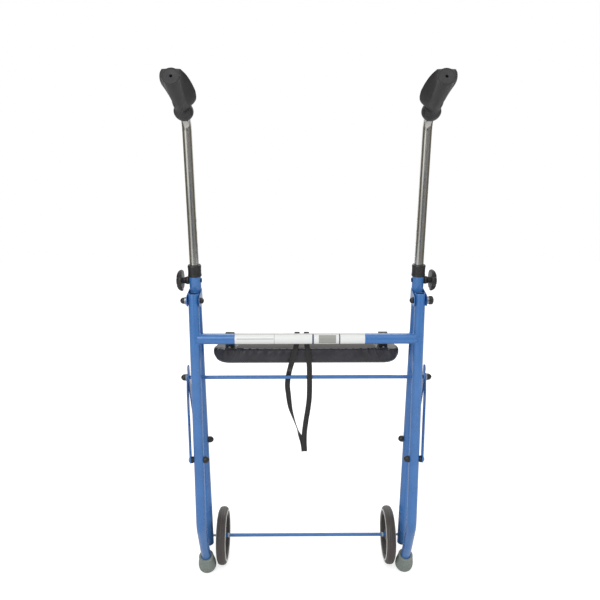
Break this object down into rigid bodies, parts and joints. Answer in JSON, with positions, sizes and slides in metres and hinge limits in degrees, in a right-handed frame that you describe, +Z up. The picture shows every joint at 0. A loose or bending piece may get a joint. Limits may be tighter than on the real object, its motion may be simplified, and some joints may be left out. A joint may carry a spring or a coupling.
{
  "type": "folding walker",
  "caption": "Folding tubular walker with front wheels, rubber rear tips, sliding handles with palm grips, a flip seat and a cross rod with a pull strap; shown folded",
  "frame": {"origin": "centre of the bounding box on the floor, with the walker folded and standing", "axes": "+Z up, +Y the way the user walks, away from the grips' ends, +X the user's right"},
  "size_m": [0.547, 0.3105, 1.1107],
  "materials": {
    "blue_coat": "blue powder coat on steel tube",
    "chrome": "bright chrome plate",
    "black_plastic": "moulded satin black",
    "capped_steel": "steel bolt with black plastic caps",
    "zinc_steel": "zinc plated",
    "grip_rubber": "soft matt black",
    "grey_rubber": "matt grey",
    "tyre": "solid rubber",
    "rim_plastic": "moulded dark grey",
    "nylon": "plain nylon",
    "plywood": "raw board",
    "vinyl": "smooth black vinyl over foam",
    "webbing": "woven black"
  },
  "bodies": {
    "front_frame": {"front_leg_left": "blue_coat", "front_leg_right": "blue_coat", "front_leg_plug_left": "black_plastic", "front_leg_plug_right": "black_plastic", "hinge_socket_left": "blue_coat", "hinge_socket_right": "blue_coat", "collar_left": "black_plastic", "collar_right": "black_plastic", "clamp_nut_left": "zinc_steel", "clamp_nut_right": "zinc_steel", "hinge_bolt_left": "capped_steel", "hinge_bolt_right": "capped_steel", "axle_bolt_left": "capped_steel", "axle_bolt_right": "capped_steel", "axle_rod": "blue_coat", "front_crossbar": "blue_coat", "front_link_bolt_left": "capped_steel", "front_link_bolt_right": "capped_steel", "front_link_spacer_left": "black_plastic", "front_link_spacer_right": "black_plastic", "pull_strap": "webbing"},
    "rear_frame": {"rear_leg_left": "blue_coat", "rear_leg_right": "blue_coat", "rear_tip_left": "grey_rubber", "rear_tip_right": "grey_rubber", "rear_crossbar": "blue_coat", "rear_link_bolt_left": "capped_steel", "rear_link_bolt_right": "capped_steel", "rear_link_spacer_left": "black_plastic", "rear_link_spacer_right": "black_plastic"},
    "front_links": {"front_link_left": "blue_coat", "front_link_right": "blue_coat", "link_cross_rod": "blue_coat"},
    "rear_links": {"rear_link_left": "blue_coat", "rear_link_right": "blue_coat", "knuckle_cap_left": "black_plastic", "knuckle_cap_right": "black_plastic"},
    "seat": {"seat_board": "plywood", "seat_cushion": "vinyl", "seat_clip_left": "black_plastic", "seat_clip_right": "black_plastic", "seat_screw_left_back": "zinc_steel", "seat_screw_left_front": "zinc_steel", "seat_screw_right_back": "zinc_steel", "seat_screw_right_front": "zinc_steel"},
    "handle_left": {"handle_tube_left": "chrome", "grip_left": "grip_rubber"},
    "handle_right": {"handle_tube_right": "chrome", "grip_right": "grip_rubber"},
    "knob_left": {"clamp_knob_left": "black_plastic", "clamp_screw_left": "zinc_steel"},
    "knob_right": {"clamp_knob_right": "black_plastic", "clamp_screw_right": "zinc_steel"},
    "wheel_left": {"tyre_left": "tyre", "rim_left": "rim_plastic", "wheel_bush_left": "nylon"},
    "wheel_right": {"tyre_right": "tyre", "rim_right": "rim_plastic", "wheel_bush_right": "nylon"}
  },
  "joints": [
    {"name": "fold", "type": "hinge", "parent": "front_frame", "child": "rear_frame", "pos_m": [0, -0.02145, 0.672], "axis": [-1, 0, 0], "range_deg": [0, 47.5]},
    {"name": "front_link_swing", "type": "hinge", "parent": "front_frame", "child": "front_links", "pos_m": [0, 0.03183, 0.33], "axis": [1, 0, 0], "range_deg": [0, 55], "deforming": ["pull_strap"]},
    {"name": "rear_link_swing", "type": "hinge", "parent": "rear_frame", "child": "rear_links", "pos_m": [0, -0.04199, 0.319], "axis": [-1, 0, 0], "range_deg": [0, 46.5]},
    {"name": "seat_flip", "type": "hinge", "parent": "front_frame", "child": "seat", "pos_m": [0, 0.0164, 0.578], "axis": [1, 0, 0], "range_deg": [0, 173.2]},
    {"name": "handle_slide_left", "type": "slide", "parent": "front_frame", "child": "handle_left", "axis": [0, -0.0621, 0.9981], "range_m": [-0.127, 0.0508]},
    {"name": "handle_slide_right", "type": "slide", "parent": "front_frame", "child": "handle_right", "axis": [0, -0.0621, 0.9981], "range_m": [-0.127, 0.0508]},
    {"name": "knob_turn_left", "type": "hinge", "parent": "front_frame", "child": "knob_left", "pos_m": [-0.235, 0.00825, 0.709], "axis": [-1, 0, 0], "continuous": true},
    {"name": "knob_turn_right", "type": "hinge", "parent": "front_frame", "child": "knob_right", "pos_m": [0.235, 0.00825, 0.709], "axis": [1, 0, 0], "continuous": true},
    {"name": "wheel_spin_left", "type": "hinge", "parent": "front_frame", "child": "wheel_left", "pos_m": [-0.2, 0.04821, 0.06668], "axis": [1, 0, 0], "continuous": true},
    {"name": "wheel_spin_right", "type": "hinge", "parent": "front_frame", "child": "wheel_right", "pos_m": [0.2, 0.04821, 0.06668], "axis": [1, 0, 0], "continuous": true}
  ],
  "couplings": [
    {"joint": "front_link_swing", "follows": "fold", "ratio": 1.1545},
    {"joint": "rear_link_swing", "follows": "fold", "ratio": 0.97223}
  ]
}
